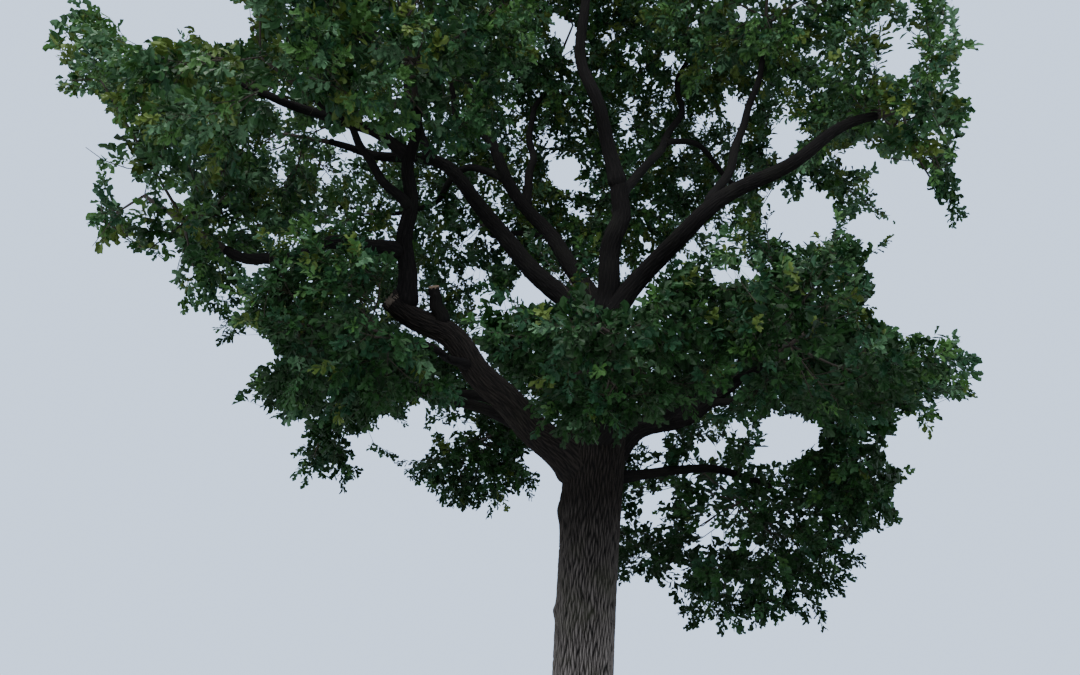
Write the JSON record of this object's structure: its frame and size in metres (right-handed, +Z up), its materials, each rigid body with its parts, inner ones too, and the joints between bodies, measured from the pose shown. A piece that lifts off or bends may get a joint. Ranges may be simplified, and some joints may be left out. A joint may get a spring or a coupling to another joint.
{
  "type": "oak tree",
  "caption": "Broad-crowned oak in summer leaf: leaning trunk with root flare, crooked tapering boughs, a broken bough end and leafy masses round an open middle.",
  "frame": {"origin": "middle of the flat cut at ground level under the trunk", "axes": "+Z up; +X to the right and -Y towards the viewer, as in the picture"},
  "size_m": [14.5671, 14.0888, 18.0094],
  "materials": {
    "bark": "rough furrowed grey-brown bark",
    "broken_wood": "weathered bark with a pale cut end",
    "foliage": "dark green leaves, slightly glossy"
  },
  "bodies": {
    "root": {"trunk": "bark", "leader": "bark", "west_bough": "bark", "west_stub": "broken_wood", "west_riser": "bark", "west_arm": "bark", "west_tip_bough": "bark", "south_west_bough": "bark", "low_west_bough": "bark", "under_west_bough": "bark", "west_stem": "bark", "top_west_stem": "bark", "north_west_stem": "bark", "far_west_stem": "bark", "north_spur": "bark", "middle_stem": "bark", "middle_west_stem": "bark", "middle_east_stem": "bark", "east_stem": "bark", "top_east_stem": "bark", "low_east_bough": "bark", "far_east_bough": "bark", "east_bough": "bark", "south_east_bough": "bark", "south_bough": "bark", "north_bough": "bark", "north_top_stem": "bark", "north_east_bough": "bark", "far_east_stem": "bark", "north_west_bough": "bark", "low_north_bough": "bark", "inner_north_stem": "bark", "west_leaves": "foliage", "west_tip_leaves": "foliage", "west_riser_leaves": "foliage", "south_west_leaves": "foliage", "low_west_leaves": "foliage", "under_west_leaves": "foliage", "west_stem_leaves": "foliage", "top_west_leaves": "foliage", "north_west_top_leaves": "foliage", "far_west_leaves": "foliage", "north_spur_leaves": "foliage", "crown_top_leaves": "foliage", "middle_east_leaves": "foliage", "east_tip_leaves": "foliage", "top_east_leaves": "foliage", "low_east_leaves": "foliage", "far_east_leaves": "foliage", "east_leaves": "foliage", "south_east_leaves": "foliage", "south_leaves": "foliage", "north_leaves": "foliage", "north_top_leaves": "foliage", "north_east_leaves": "foliage", "far_east_top_leaves": "foliage", "north_west_leaves": "foliage", "low_north_leaves": "foliage", "inner_north_leaves": "foliage"}
  },
  "joints": []
}
